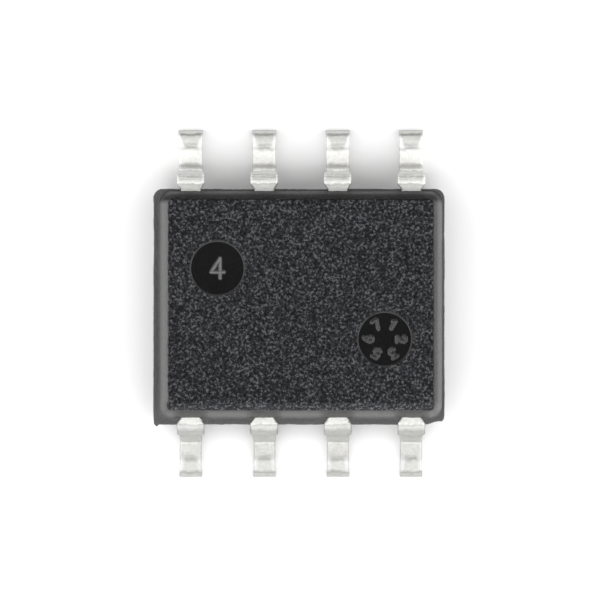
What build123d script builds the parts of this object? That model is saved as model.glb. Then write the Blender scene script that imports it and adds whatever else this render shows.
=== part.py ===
"""Eight-lead small-outline surface-mount package holding a pulse-width-modulation controller die.

Row frame, millimetres: X runs along the lead rows, Y across them, Z up from the board.
The origin is the centre of the lead pattern on the seating plane, under the soles of the feet.
Leads 1 to 4 run from -X to +X along the -Y side, and leads 5 to 8 back from +X to -X along the +Y side.

Pieces: one transfer-moulded body, eight formed leads, the die pad with its two tie bars, the silicon die,
the conductive epoxy under it and eight bond wires. The body has a true cavity for every piece it holds.
"""

import os
from math import atan2, cos, degrees, radians, sin

from build123d import *

os.makedirs("parts", exist_ok=True)

# ---------------------------------------------------------------- driving dimensions
PITCH = 1.27  # between neighbouring leads
PER_SIDE = 4
TIP_SPAN = 6.00  # over the toes of both rows
LEAD_W = 0.40  # leg and foot
LEAD_T = 0.20  # lead-frame strip

SEAT_GAP = 0.15  # from the seating plane to the underside of the body
BODY_TOP = 1.60
FRAME_LOW = 0.78  # lower face of the lead frame inside the body
FRAME_HIGH = FRAME_LOW + LEAD_T
LEDGE = 0.955  # top of the shelf where the lower half stands out past the upper half

# the two halves of the mould, as low and high X and Y at the parting plane
UPPER = (-2.450, 2.438, -1.976, 1.952)
LOWER = (-2.553, 2.483, -2.093, 1.984)
UPPER_RUN = 0.155  # how far the upper walls lean in, over their height
LOWER_RUN = 0.085
UPPER_CORNER = 0.22  # vertical corner radius at the parting plane
UPPER_CORNER_TOP = 0.07
LOWER_CORNER = 0.16
GATE_CORNER = 0.02  # the corner that the gate was broken from keeps no radius
INDEX_BEVEL = 0.085  # bevel along the top edge on the lead 1 to 4 side
TOP_EDGE = 0.035  # radius round the top face

EXIT_Y = 1.965  # where a lead leaves the body
SHOULDER_Y = 2.08  # start of the first bend
BEND_R = 0.15  # to the middle of the strip
BEND_DEG = 84.0
EXIT_W = 0.34
DAMBAR_W = 0.475  # over the cut stubs of the dam bar
DAMBAR_DEG = 52.0  # the stubs end this far round the first bend
TOE_BREAK_Y = 2.72  # the coined toe starts here

MARK_X, MARK_Y = 1.443, 0.612  # the two ejector-pin marks, point-symmetric about the middle
MARK_R = 0.475
MARK_DEEP = 0.030
MARK_WALL = 0.022
STROKE_W = 0.042  # raised strokes in the marks
STROKE_HIGH = 0.020
STROKE_SLOPE = 36.0

PAD = (2.90, 2.00)
PAD_LOW = 0.63
TIE_W = 0.28
DIE = (1.55, 1.25, 0.25)
BOND_LINE = 0.020
WIRE_R = 0.015
BALL_R, BALL_HIGH = 0.040, 0.018
LOOP_HIGH = 0.140  # above the die

mid_z = FRAME_LOW + LEAD_T / 2
HALF_SPAN = TIP_SPAN / 2
LEAD_X = [(i - (PER_SIDE - 1) / 2) * PITCH for i in range(PER_SIDE)]


# ---------------------------------------------------------------- helpers
def ring(z, x0, x1, y0, y1, radii):
    """A closed outline of four lines and four arcs at height z. radii go round from the -X -Y corner."""
    a, b, c, d = radii
    k = 1 - cos(radians(45))
    v = lambda x, y: Vector(x, y, z)
    edges = [
        Edge.make_line(v(x0 + a, y0), v(x1 - b, y0)),
        Edge.make_three_point_arc(v(x1 - b, y0), v(x1 - b * k, y0 + b * k), v(x1, y0 + b)),
        Edge.make_line(v(x1, y0 + b), v(x1, y1 - c)),
        Edge.make_three_point_arc(v(x1, y1 - c), v(x1 - c * k, y1 - c * k), v(x1 - c, y1)),
        Edge.make_line(v(x1 - c, y1), v(x0 + d, y1)),
        Edge.make_three_point_arc(v(x0 + d, y1), v(x0 + d * k, y1 - d * k), v(x0, y1 - d)),
        Edge.make_line(v(x0, y1 - d), v(x0, y0 + a)),
        Edge.make_three_point_arc(v(x0, y0 + a), v(x0 + a * k, y0 + a * k), v(x0 + a, y0)),
    ]
    return Wire(edges)


def between(low, high):
    return Solid.make_loft([low, high], ruled=True)


def prism(points, plane, depth, both=False):
    """A closed polygon of points on plane, extruded."""
    face = make_face(Polyline(*points, close=True))
    return extrude(plane * face, depth, both=both)


def inset(box, by):
    x0, x1, y0, y1 = box
    return x0 + by, x1 - by, y0 + by, y1 - by


# ---------------------------------------------------------------- leads
def bent_profile(end_deg=None):
    """The strip seen from the side, in (distance from the middle, height), from the first bend outwards.
    With end_deg, only the stretch of the first bend up to that angle."""
    t = LEAD_T / 2
    c1 = (SHOULDER_Y, mid_z - BEND_R)
    at1 = lambda r, deg: (c1[0] + r * sin(radians(deg)), c1[1] + r * cos(radians(deg)))
    if end_deg is not None:
        e = end_deg
        outline = (
            Line(at1(BEND_R - t, 0), at1(BEND_R + t, 0))
            + ThreePointArc(at1(BEND_R + t, 0), at1(BEND_R + t, e / 2), at1(BEND_R + t, e))
            + Line(at1(BEND_R + t, e), at1(BEND_R - t, e))
            + ThreePointArc(at1(BEND_R - t, e), at1(BEND_R - t, e / 2), at1(BEND_R - t, 0))
        )
        return make_face(outline)
    f = BEND_DEG
    drop = mid_z - LEAD_T / 2
    leg = (drop - 2 * BEND_R * (1 - cos(radians(f)))) / sin(radians(f))
    e1 = at1(BEND_R, f)
    e2 = (e1[0] + leg * cos(radians(f)), e1[1] - leg * sin(radians(f)))
    c2 = (e2[0] + BEND_R * sin(radians(f)), e2[1] + BEND_R * cos(radians(f)))
    at2 = lambda r, deg: (c2[0] - r * sin(radians(deg)), c2[1] - r * cos(radians(deg)))
    top = LEAD_T
    outline = (
        Line(at1(BEND_R - t, 0), at1(BEND_R + t, 0))
        + ThreePointArc(at1(BEND_R + t, 0), at1(BEND_R + t, f / 2), at1(BEND_R + t, f))
        + Line(at1(BEND_R + t, f), at2(BEND_R - t, f))
        + ThreePointArc(at2(BEND_R - t, f), at2(BEND_R - t, f / 2), at2(BEND_R - t, 0))
        + Line(at2(BEND_R - t, 0), (TOE_BREAK_Y, top))
        + Line((TOE_BREAK_Y, top), (HALF_SPAN - 0.105, top - 0.016))
        + ThreePointArc(
            (HALF_SPAN - 0.105, top - 0.016),
            (HALF_SPAN - 0.045, top - 0.040),
            (HALF_SPAN - 0.018, top - 0.090),
        )
        + Line((HALF_SPAN - 0.018, top - 0.090), (HALF_SPAN, 0))
        + Line((HALF_SPAN, 0), at2(BEND_R + t, 0))
        + ThreePointArc(at2(BEND_R + t, 0), at2(BEND_R + t, f / 2), at2(BEND_R + t, f))
        + Line(at2(BEND_R + t, f), at1(BEND_R - t, f))
        + ThreePointArc(at1(BEND_R - t, f), at1(BEND_R - t, f / 2), at1(BEND_R - t, 0))
    )
    return make_face(outline)


# half-widths of the strip towards the middle of the row and away from it, against distance from the middle of the body
INNER_FINGER = [
    (1.220, 0.27, 0.27),
    (1.430, 0.27, 0.27),
    (1.510, 0.19, 0.19),
    (1.640, 0.19, 0.19),
    (1.670, 0.13, 0.13),
    (1.760, 0.13, 0.13),
    (1.790, 0.19, 0.19),
    (1.890, 0.19, 0.19),
    (EXIT_Y, EXIT_W / 2, EXIT_W / 2),
    (SHOULDER_Y - 0.012, DAMBAR_W / 2, DAMBAR_W / 2),
    (SHOULDER_Y, DAMBAR_W / 2, DAMBAR_W / 2),
]
CORNER_FINGER = [
    (0.620, 0.17, 0.19),
    (0.680, 0.23, 0.21),
    (1.180, 0.23, 0.21),
    (1.260, 0.20, 0.21),
    (1.380, 0.20, 0.21),
    (1.410, 0.20, 0.13),
    (1.500, 0.20, 0.13),
    (1.530, 0.20, 0.21),
    (1.640, 0.20, 0.20),
    (1.670, 0.13, 0.13),
    (1.760, 0.13, 0.13),
    (1.790, 0.19, 0.19),
    (1.890, 0.19, 0.19),
    (EXIT_Y, EXIT_W / 2, EXIT_W / 2),
    (SHOULDER_Y - 0.012, DAMBAR_W / 2, DAMBAR_W / 2),
    (SHOULDER_Y, DAMBAR_W / 2, DAMBAR_W / 2),
]


def lead(x, side):
    """One formed lead at row position x, on the +Y side or the -Y side."""
    corner = abs(x) > PITCH
    table = CORNER_FINGER if corner else INNER_FINGER
    towards = -1 if x > 0 else 1  # the way to the middle of the row
    one = [(towards * a, y) for y, a, b in table]
    other = [(-towards * b, y) for y, a, b in table]
    finger = prism(one + other[::-1], Plane.XY.offset(FRAME_LOW), LEAD_T)
    # the bend, the leg and the foot, drawn in (Y, Z) and extruded both ways along X
    main = extrude(Plane.YZ * bent_profile(), LEAD_W / 2, both=True)
    stubs = extrude(Plane.YZ * bent_profile(DAMBAR_DEG), DAMBAR_W / 2, both=True)
    made = finger + main + stubs
    if side < 0:
        made = mirror(made, about=Plane.XZ)
    return (Pos(x, 0, 0) * made).clean()


leads = {}
for i, x in enumerate(LEAD_X):
    leads[f"lead_{i + 1}"] = lead(x, -1)
for i, x in enumerate(reversed(LEAD_X)):
    leads[f"lead_{i + 5}"] = lead(x, +1)

# ---------------------------------------------------------------- die pad with its tie bars
pad = extrude(
    Plane.XY.offset(PAD_LOW) * RectangleRounded(PAD[0], PAD[1], 0.10), LEAD_T
)
px = PAD[0] / 2
for sign, end in ((1, LOWER[1]), (-1, -LOWER[0])):
    bar = prism(
        [
            (px - 0.05, 0.66),
            (px + 0.02, 0.66),
            (px + 0.27, FRAME_LOW),
            (end, FRAME_LOW),
            (end, FRAME_LOW + 0.12),
            (px + 0.21, FRAME_LOW + 0.12),
            (px, 0.80),
            (px - 0.05, 0.80),
        ],
        Plane.XZ,
        TIE_W / 2,
        both=True,
    )
    pad = pad + (bar if sign > 0 else mirror(bar, about=Plane.YZ))
pad = pad.clean()

# ---------------------------------------------------------------- die and the epoxy under it
die_low = PAD_LOW + LEAD_T + BOND_LINE
die_high = die_low + DIE[2]
die = Pos(0, 0, die_low + DIE[2] / 2) * Box(*DIE)
attach_low = PAD_LOW + LEAD_T
attach = between(
    ring(attach_low, *inset((-DIE[0] / 2, DIE[0] / 2, -DIE[1] / 2, DIE[1] / 2), -0.115), (0.14,) * 4),
    ring(attach_low + 0.110, *inset((-DIE[0] / 2, DIE[0] / 2, -DIE[1] / 2, DIE[1] / 2), -0.018), (0.03,) * 4),
)
attach = Part(attach.wrapped) - die

# ---------------------------------------------------------------- bond wires
# each as: lead number, X and Y on the die, X and Y on the lead
BONDS = []
for i, x in enumerate(LEAD_X):
    if abs(x) > PITCH:
        BONDS.append((i + 1, (0.665 if x > 0 else -0.665, -0.40), (x - 0.04 * (1 if x > 0 else -1), -0.98)))
    else:
        BONDS.append((i + 1, (0.33 if x > 0 else -0.33, -0.53), (x, -1.345)))
BONDS += [(9 - n, (a[0], -a[1]), (b[0], -b[1])) for n, a, b in reversed(BONDS)]


def wire(start, end):
    dx, dy = end[0] - start[0], end[1] - start[1]
    d = (dx * dx + dy * dy) ** 0.5
    ux, uy = dx / d, dy / d
    at = lambda s, z: (start[0] + ux * s, start[1] + uy * s, z)
    peak = die_high + LOOP_HIGH
    # straight up from the ball, along, and down to the lead in tangent arcs
    route = FilletPolyline(
        at(0, die_high + 0.010),
        at(0, peak),
        at(0.46 * d, peak - 0.012),
        at(d, FRAME_HIGH - 0.004),
        radius=[0.060, 0.30],
    )
    made = sweep(Plane(at(0, die_high + 0.010), z_dir=(0, 0, 1)) * Circle(WIRE_R), path=route)
    ball = Pos(*at(0, die_high + BALL_HIGH / 2)) * Cylinder(BALL_R, BALL_HIGH)
    ball = fillet(ball.edges().filter_by(GeomType.CIRCLE).sort_by(Axis.Z)[-1], 0.008)
    neck = Pos(*at(0, die_high + BALL_HIGH + 0.008)) * Cone(0.026, WIRE_R * 1.02, 0.020)
    stitch = prism(
        [(-0.075, -0.018), (0.020, -0.030), (0.045, -0.026), (0.045, 0.026), (0.020, 0.030), (-0.075, 0.018)],
        Plane(at(d, FRAME_HIGH), x_dir=(ux, uy, 0), z_dir=(0, 0, 1)),
        0.009,
    )
    made = made + ball + neck + stitch
    under = Pos(*at(d, FRAME_HIGH - 0.1)) * Box(0.5, 0.5, 0.2)
    return made - under


wires = {f"bond_wire_{n}": wire(a, b) for n, a, b in BONDS}

# ---------------------------------------------------------------- moulded body
lower = between(
    ring(SEAT_GAP, *inset(LOWER, LOWER_RUN), (0.02, 0.07, 0.07, 0.07)),
    ring(FRAME_LOW, *LOWER, (GATE_CORNER, LOWER_CORNER, LOWER_CORNER, LOWER_CORNER)),
)
band = between(
    ring(FRAME_LOW, *LOWER, (GATE_CORNER, LOWER_CORNER, LOWER_CORNER, LOWER_CORNER)),
    ring(LEDGE, *LOWER, (GATE_CORNER, LOWER_CORNER, LOWER_CORNER, LOWER_CORNER)),
)
upper = between(
    ring(LEDGE - 0.05, *inset(UPPER, -UPPER_RUN * 0.05 / (BODY_TOP - LEDGE)), (UPPER_CORNER + 0.008,) * 4),
    ring(BODY_TOP, *inset(UPPER, UPPER_RUN), (UPPER_CORNER_TOP,) * 4),
)
upper = Part(upper.wrapped)
# bevel on the lead 1 to 4 side
ytop = UPPER[2] + UPPER_RUN
upper = upper - prism(
    [
        (ytop - 0.20, BODY_TOP + 0.10),
        (ytop - 0.20, BODY_TOP - 0.20),
        (ytop - 0.07, BODY_TOP - INDEX_BEVEL - 0.055),
        (ytop + INDEX_BEVEL + 0.10, BODY_TOP + 0.085),
        (ytop + INDEX_BEVEL + 0.10, BODY_TOP + 0.10),
    ],
    Plane.YZ,
    3.0,
    both=True,
)
rim = [
    e
    for e in upper.edges()
    if e.center().Z > BODY_TOP - INDEX_BEVEL * 1.35 and abs(e.bounding_box().size.Z) < 0.01
]
for radius in (TOP_EDGE, TOP_EDGE * 0.7, TOP_EDGE * 0.4):
    try:
        rounded = fillet(rim, radius)
        if rounded.is_valid:
            upper = rounded
            print("top edge radius", radius, "on", len(rim), "edges")
            break
    except Exception as why:
        print("top edge fillet", radius, "failed:", why)

shell = (Part(lower.wrapped) + Part(band.wrapped) + upper).clean()
# the lower half thins towards one corner of the lead 4 end, and a speck of gate flash stays on the lead 1 corner
shell = shell - prism(
    [(2.17, LOWER[2]), (2.36, LOWER[2] + 0.052), (2.60, LOWER[2] + 0.062), (2.60, LOWER[2] - 0.1), (2.17, LOWER[2] - 0.1)],
    Plane.XY,
    2.0,
)
shell = shell + Pos(-2.497, LOWER[2] - 0.012, 0.865) * Cylinder(0.034, 0.13)

# ejector-pin marks: shallow round sinks with raised figures, plain numbers as on a dial
FIGURES = {
    "1": [[(-0.20, 0.32), (0.05, 0.50), (0.05, -0.50)]],
    "2": [[(-0.28, 0.30), (-0.12, 0.48), (0.14, 0.48), (0.28, 0.28), (0.22, 0.02), (-0.30, -0.50), (0.30, -0.50)]],
    "3": [[(-0.28, 0.50), (0.28, 0.50), (0.00, 0.10), (0.24, -0.02), (0.28, -0.28), (0.10, -0.50), (-0.16, -0.50), (-0.30, -0.34)]],
    "4": [[(0.14, -0.50), (0.14, 0.50), (-0.32, -0.20), (0.34, -0.20)]],
    "5": [[(0.28, 0.50), (-0.24, 0.50), (-0.28, 0.06), (0.10, 0.10), (0.29, -0.14), (0.24, -0.40), (0.02, -0.52), (-0.28, -0.40)]],
    "6": [[(0.20, 0.50), (-0.16, 0.20), (-0.28, -0.18), (-0.16, -0.46), (0.12, -0.50), (0.28, -0.28), (0.20, -0.02), (-0.06, 0.04), (-0.28, -0.18)]],
    "7": [[(-0.30, 0.50), (0.30, 0.50), (-0.06, -0.50)]],
}


def stroke(a, b, z):
    """One raised stroke between two points: a tapered bar with round ends, standing on height z."""
    dx, dy = b[0] - a[0], b[1] - a[1]
    length = (dx * dx + dy * dy) ** 0.5
    plane = Plane(((a[0] + b[0]) / 2, (a[1] + b[1]) / 2, z - 0.006), x_dir=(dx, dy, 0), z_dir=(0, 0, 1))
    return extrude(plane * SlotCenterToCenter(length, STROKE_W), STROKE_HIGH + 0.006, taper=STROKE_SLOPE * 0.6)


def figure(name, cx, cy, height, turn, z):
    """The strokes of one figure, turned clockwise by turn degrees about its own middle."""
    c, s = cos(radians(-turn)), sin(radians(-turn))
    place = lambda p: (cx + height * (p[0] * c - p[1] * s), cy + height * (p[0] * s + p[1] * c))
    return [stroke(place(p), place(q), z) for line in FIGURES[name] for p, q in zip(line, line[1:])]


floor_z = BODY_TOP - MARK_DEEP
strokes = []
for sx, sy in ((-1, 1), (1, -1)):
    sink = Pos(sx * MARK_X, sy * MARK_Y, floor_z + (MARK_DEEP + 0.02) / 2) * Cone(
        MARK_R - MARK_WALL, MARK_R + MARK_WALL * 0.02 / MARK_DEEP, MARK_DEEP + 0.02
    )
    shell = shell - sink
strokes += figure("4", -MARK_X, MARK_Y, 0.34, 0, floor_z)
for k, name in enumerate("123567"):
    turn = 30 + 60 * k
    strokes += figure(
        name, MARK_X + 0.285 * sin(radians(turn)), -MARK_Y + 0.285 * cos(radians(turn)), 0.155, turn, floor_z
    )
for s in strokes:
    shell = shell + s

body = shell
for piece in [*leads.values(), pad, die, attach, *wires.values()]:
    body = body - piece

# ---------------------------------------------------------------- write
pieces = {"mould_body": body, **leads, "die_pad": pad, "die": die, "die_attach": attach, **wires}
for name, shape in pieces.items():
    solids = shape.solids()
    print(f"{name:14s} solids {len(solids)} volume {sum(s.volume for s in solids):.5f} valid {all(s.is_valid for s in solids)}")
    out = solids[0] if len(solids) == 1 else Compound(children=solids)
    out.label = name
    export_step(out, f"parts/{name}.step")
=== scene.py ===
import math

import bpy
import numpy as np
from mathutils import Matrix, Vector
from mathutils.geometry import delaunay_2d_cdt


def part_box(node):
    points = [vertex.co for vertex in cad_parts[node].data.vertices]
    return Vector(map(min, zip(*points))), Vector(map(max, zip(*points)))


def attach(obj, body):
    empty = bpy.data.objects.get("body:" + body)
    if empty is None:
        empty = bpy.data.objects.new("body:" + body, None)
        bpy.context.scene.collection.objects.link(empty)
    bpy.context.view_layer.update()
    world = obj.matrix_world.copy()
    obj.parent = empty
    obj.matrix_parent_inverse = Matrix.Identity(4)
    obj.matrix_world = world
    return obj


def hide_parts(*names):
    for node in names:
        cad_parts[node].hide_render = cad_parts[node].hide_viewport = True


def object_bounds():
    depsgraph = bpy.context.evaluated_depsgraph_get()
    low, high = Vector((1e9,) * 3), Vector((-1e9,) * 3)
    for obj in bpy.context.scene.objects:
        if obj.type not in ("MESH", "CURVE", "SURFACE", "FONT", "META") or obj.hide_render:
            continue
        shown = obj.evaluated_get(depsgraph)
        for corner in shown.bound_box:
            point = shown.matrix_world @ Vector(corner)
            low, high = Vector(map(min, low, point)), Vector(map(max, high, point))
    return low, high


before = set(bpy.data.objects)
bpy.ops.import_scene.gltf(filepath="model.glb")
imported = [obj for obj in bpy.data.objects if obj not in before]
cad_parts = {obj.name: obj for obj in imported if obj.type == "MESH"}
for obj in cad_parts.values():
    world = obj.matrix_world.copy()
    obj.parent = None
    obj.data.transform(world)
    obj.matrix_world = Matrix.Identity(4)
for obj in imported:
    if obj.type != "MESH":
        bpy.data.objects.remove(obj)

cad_lo, cad_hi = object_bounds()

MM = 1e-3  # everything below is worked out in millimetres and stored in metres


# ---------------------------------------------------------------- the frame's own sizes, in millimetres
def box_mm(node):
    lo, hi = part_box(node)
    return np.array(lo) / MM, np.array(hi) / MM


body_lo, body_hi = box_mm("mould_body")
LOWER = (body_lo[0], body_hi[0], -2.093, body_hi[1])
UPPER = (-2.450, 2.438, -1.976, 1.952)
BODY_LOW, BODY_TOP = body_lo[2], body_hi[2]
PARTING, LEDGE = 0.78, 0.955
UPPER_RUN, LOWER_RUN = 0.155, 0.085
lead_boxes = {n: box_mm(f"lead_{n}") for n in range(1, 9)}
LEAD_TOP = lead_boxes[1][1][2]
HALF_SPAN = lead_boxes[8][1][1]
LEAD_T = 0.20
MARK_X, MARK_Y, MARK_R, MARK_DEEP, MARK_WALL = 1.443, 0.612, 0.475, 0.030, 0.022
STROKE_HIGH = 0.020


# ---------------------------------------------------------------- numbers helpers
def smooth(a, b, x):
    t = np.clip((np.asarray(x, float) - a) / (b - a), 0, 1)
    return t * t * (3 - 2 * t)


class Relief:
    """Seeded band-limited relief of unit rms on a periodic square, read at any point in millimetres."""

    def __init__(self, seed, wave, spread=0.45, side=5.6, cell=0.008, short=None):
        n = int(round(side / cell))
        rs = np.random.RandomState(seed)
        f = np.hypot(np.fft.fftfreq(n, cell)[:, None], np.fft.rfftfreq(n, cell)[None, :])
        f[0, 0] = 1e-9
        if short:  # slopes of even strength from wave down to short
            band = np.exp(-((f * short) ** 2)) * (1 - np.exp(-((f * wave) ** 2))) / f
        else:
            band = np.exp(-0.5 * (np.log(f * wave) / spread) ** 2) / np.sqrt(f)
        z = np.fft.irfft2(np.fft.rfft2(rs.standard_normal((n, n))) * band, s=(n, n))
        z /= z.std()
        self.z, self.n, self.cell = z, n, cell

    def __call__(self, x, y):
        u, v = np.asarray(x, float) / self.cell, np.asarray(y, float) / self.cell
        i, j = np.floor(v).astype(int), np.floor(u).astype(int)
        a, b = v - i, u - j
        n, z = self.n, self.z
        i0, i1, j0, j1 = i % n, (i + 1) % n, j % n, (j + 1) % n
        return (z[i0, j0] * (1 - a) + z[i1, j0] * a) * (1 - b) + (z[i0, j1] * (1 - a) + z[i1, j1] * a) * b


def new_object(name, verts, faces, materials, face_material=None, sharp_deg=None):
    """A mesh object from millimetre vertices, smooth shaded."""
    mesh = bpy.data.meshes.new(name)
    verts = np.asarray(verts, float) * MM
    sizes = np.array([len(f) for f in faces], np.int32)
    loops = np.concatenate([np.asarray(f, np.int32) for f in faces]) if len(faces) else np.zeros(0, np.int32)
    mesh.vertices.add(len(verts))
    mesh.vertices.foreach_set("co", verts.astype(np.float32).ravel())
    mesh.loops.add(len(loops))
    mesh.loops.foreach_set("vertex_index", loops)
    mesh.polygons.add(len(faces))
    starts = np.concatenate([[0], np.cumsum(sizes)[:-1]]).astype(np.int32)
    mesh.polygons.foreach_set("loop_start", starts)
    mesh.polygons.foreach_set("loop_total", sizes)
    for m in materials:
        mesh.materials.append(m)
    if face_material is not None:
        mesh.polygons.foreach_set("material_index", np.asarray(face_material, np.int32))
    mesh.polygons.foreach_set("use_smooth", np.ones(len(faces), bool))
    mesh.update(calc_edges=True)
    mesh.validate()
    if sharp_deg:
        mesh.set_sharp_from_angle(angle=math.radians(sharp_deg))
    o = bpy.data.objects.new(name, mesh)
    bpy.context.scene.collection.objects.link(o)
    return o


# ---------------------------------------------------------------- materials
def material(name):
    m = bpy.data.materials.new(name)
    m.use_nodes = True
    nt = m.node_tree
    nt.nodes.clear()
    out = nt.nodes.new("ShaderNodeOutputMaterial")
    b = nt.nodes.new("ShaderNodeBsdfPrincipled")
    nt.links.new(b.outputs["BSDF"], out.inputs["Surface"])
    co = nt.nodes.new("ShaderNodeTexCoord")
    scale = nt.nodes.new("ShaderNodeVectorMath")
    scale.operation = "SCALE"
    scale.inputs["Scale"].default_value = 1000.0  # to millimetres
    nt.links.new(co.outputs["Object"], scale.inputs[0])
    return m, nt, b, scale.outputs["Vector"]


def noise(nt, vec, scale, detail=2.0, rough=0.5, distortion=0.0, kind="ShaderNodeTexNoise"):
    n = nt.nodes.new(kind)
    nt.links.new(vec, n.inputs["Vector"])
    n.inputs["Scale"].default_value = scale
    if kind == "ShaderNodeTexNoise":
        n.inputs["Detail"].default_value = detail
        n.inputs["Roughness"].default_value = rough
        n.inputs["Distortion"].default_value = distortion
        return n.outputs["Fac"]
    return n.outputs["Distance"]


def ramp(nt, fac, stops):
    r = nt.nodes.new("ShaderNodeValToRGB")
    nt.links.new(fac, r.inputs["Fac"])
    e = r.color_ramp.elements
    while len(e) < len(stops):
        e.new(0.5)
    for i, (p, c) in enumerate(stops):
        e[i].position = p
        e[i].color = (*c, 1.0) if hasattr(c, "__len__") else (c, c, c, 1.0)
    return r.outputs["Color"]


def remap(nt, fac, a, b, c, d):
    r = nt.nodes.new("ShaderNodeMapRange")
    nt.links.new(fac, r.inputs["Value"])
    for k, v in zip(("From Min", "From Max", "To Min", "To Max"), (a, b, c, d)):
        r.inputs[k].default_value = v
    return r.outputs["Result"]


def mixed(nt, fac, a, b, mode="MIX"):
    m = nt.nodes.new("ShaderNodeMix")
    m.data_type = "RGBA"
    m.blend_type = mode
    if isinstance(fac, (int, float)):
        m.inputs["Factor"].default_value = fac
    else:
        nt.links.new(fac, m.inputs["Factor"])
    nt.links.new(a, m.inputs["A"])
    nt.links.new(b, m.inputs["B"])
    return m.outputs["Result"]


def bump(nt, b, heights):
    """Chained bumps: (height socket, depth in millimetres, strength)."""
    last = None
    for h, depth, strength in heights:
        n = nt.nodes.new("ShaderNodeBump")
        n.inputs["Distance"].default_value = depth * MM
        n.inputs["Strength"].default_value = strength
        nt.links.new(h, n.inputs["Height"])
        if last is not None:
            nt.links.new(last, n.inputs["Normal"])
        last = n.outputs["Normal"]
    nt.links.new(last, b.inputs["Normal"])


def epoxy(name, dark, light, rough_lo, rough_hi, grain_mm, depth, speck=0.0, ior=1.55):
    """Black silica-filled moulding compound: fine grain, filler specks, uneven gloss."""
    m, nt, b, vec = material(name)
    grain = noise(nt, vec, 1.0 / grain_mm, 3.0, 0.6)
    patch = noise(nt, vec, 1.7, 3.0, 0.55)
    colour = ramp(nt, grain, [(0.30, dark), (0.72, light)])
    cloud = ramp(nt, patch, [(0.30, 0.86), (0.70, 1.10)])
    colour = mixed(nt, 1.0, colour, cloud, "MULTIPLY")
    if speck:
        cells = noise(nt, vec, 1.0 / (grain_mm * 1.6), kind="ShaderNodeTexVoronoi")
        dots = ramp(nt, cells, [(0.0, speck), (0.16, 0.0)])
        colour = mixed(nt, 1.0, colour, dots, "ADD")
    nt.links.new(colour, b.inputs["Base Color"])
    nt.links.new(remap(nt, noise(nt, vec, 1.0 / (grain_mm * 1.3), 2.0), 0.3, 0.7, rough_lo, rough_hi), b.inputs["Roughness"])
    b.inputs["IOR"].default_value = ior
    b.inputs["Specular IOR Level"].default_value = 0.5
    bump(nt, b, [(grain, depth, 1.0)])
    return m


def blasted(name, stops, rough_lo, rough_hi, depth):
    """Sandblasted face: broad-band salt-and-pepper grain of filler and resin."""
    m, nt, b, vec = material(name)
    grain = noise(nt, vec, 1.0 / 0.046, 1.0, 0.9)
    shift = nt.nodes.new("ShaderNodeVectorMath")
    shift.operation = "ADD"
    shift.inputs[1].default_value = (11.3, 4.7, 2.9)
    nt.links.new(vec, shift.inputs[0])
    second = noise(nt, shift.outputs["Vector"], 1.0 / 0.050, 2.0, 0.9)
    colour = ramp(nt, grain, stops)
    cloud = ramp(nt, noise(nt, vec, 1.7, 3.0, 0.55), [(0.30, 0.90), (0.70, 1.08)])
    colour = mixed(nt, 1.0, colour, cloud, "MULTIPLY")
    nt.links.new(colour, b.inputs["Base Color"])
    nt.links.new(remap(nt, second, 0.35, 0.65, rough_lo, rough_hi), b.inputs["Roughness"])
    b.inputs["IOR"].default_value = 1.55
    b.inputs["Specular IOR Level"].default_value = 0.08
    bump(nt, b, [(second, depth, 1.0)])
    return m


def wall_with_painted_light_and_shade(name, sides, gloss, rough_lo, rough_hi, depth):
    """Mould wall with light and shade painted into its tone: lighter towards the root, darkest on the back (+Y) side
    where the body shades the floor; tone and gloss change with height, differently on each of the four sides.
    """
    m, nt, b, vec = material(name)
    sep = nt.nodes.new("ShaderNodeSeparateXYZ")
    nt.links.new(vec, sep.inputs[0])
    up = remap(nt, sep.outputs["Z"], LEDGE, BODY_TOP, 0.0, 1.0)
    right = remap(nt, sep.outputs["X"], -0.5, 0.5, 0.0, 1.0)
    back = remap(nt, sep.outputs["Y"], 1.72, 1.80, 0.0, 1.0)
    front = remap(nt, sep.outputs["Y"], -1.68, -1.76, 0.0, 1.0)

    def around(table):
        tones = {k: ramp(nt, up, v) for k, v in table.items()}
        colour = mixed(nt, right, tones["left"], tones["right"])
        colour = mixed(nt, back, colour, tones["back"])
        return mixed(nt, front, colour, tones["front"])

    # painted shade: over each lead of the front row the wall's colour and gloss are darkened
    pitch = nt.nodes.new("ShaderNodeMath")
    pitch.operation = "MULTIPLY_ADD"
    pitch.inputs[1].default_value = 2 * math.pi / 1.27
    pitch.inputs[2].default_value = -math.pi
    nt.links.new(sep.outputs["X"], pitch.inputs[0])
    wave = nt.nodes.new("ShaderNodeMath")
    wave.operation = "COSINE"
    nt.links.new(pitch.outputs[0], wave.inputs[0])
    over = ramp(nt, remap(nt, wave.outputs[0], -0.1, 0.7, 0.0, 1.0), [(0.0, 1.0), (1.0, 0.34)])
    one = ramp(nt, up, [(0.0, 1.0), (1.0, 1.0)])
    over = mixed(nt, front, one, mixed(nt, remap(nt, up, 0.74, 0.84, 0.0, 1.0), over, one))
    mottle = noise(nt, vec, 1.0 / 0.060, 3.0, 0.8)
    colour = mixed(nt, 1.0, around(sides), ramp(nt, mottle, [(0.32, 0.86), (0.68, 1.12)]), "MULTIPLY")
    nt.links.new(mixed(nt, 1.0, colour, over, "MULTIPLY"), b.inputs["Base Color"])
    shine = mixed(nt, 1.0, around(gloss), over, "MULTIPLY")
    nt.links.new(shine, b.inputs["Specular IOR Level"])
    nt.links.new(remap(nt, noise(nt, vec, 1.0 / 0.035, 2.0), 0.3, 0.7, rough_lo, rough_hi), b.inputs["Roughness"])
    b.inputs["IOR"].default_value = 1.55
    bump(nt, b, [(mottle, depth, 1.0)])
    return m


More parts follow.
